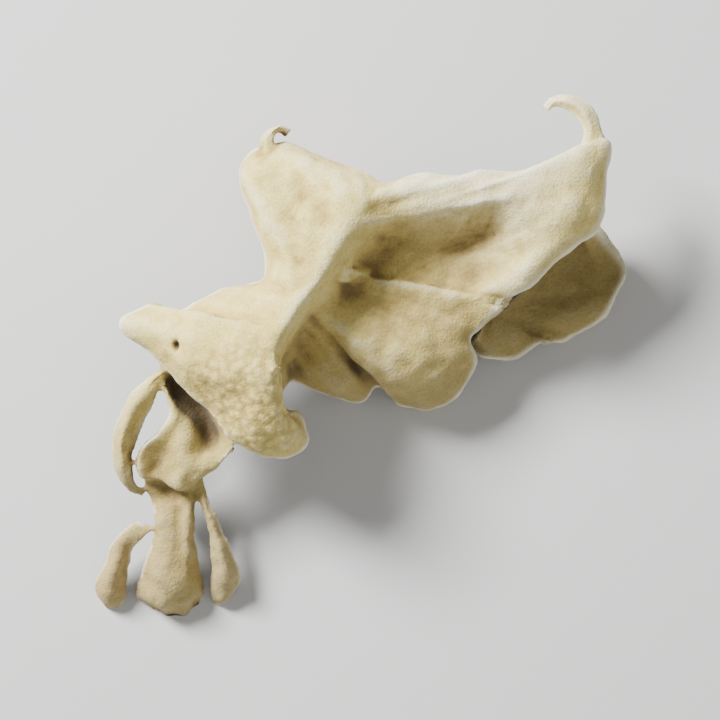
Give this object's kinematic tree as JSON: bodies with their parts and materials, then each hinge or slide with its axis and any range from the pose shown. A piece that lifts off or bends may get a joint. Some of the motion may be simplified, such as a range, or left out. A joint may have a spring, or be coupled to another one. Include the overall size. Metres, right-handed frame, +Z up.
{
  "type": "dried wood ear mushroom",
  "caption": "Thin, crumpled, leathery fruit body of a dried wood ear, pale and velvety above, black below, lying on the curled edges of its lobes.",
  "frame": {"origin": "middle of the surface that the ear lies on, under the centre of its box", "axes": "+X from the nose of the ear towards its wing, +Y from the hanging lobes towards the top edge, +Z up from the surface it lies on"},
  "size_m": [0.0582, 0.0566, 0.0171],
  "materials": {
    "dried_flesh": "velvety above, smooth and black below"
  },
  "bodies": {
    "root": {"wood_ear": "dried_flesh"}
  },
  "joints": []
}
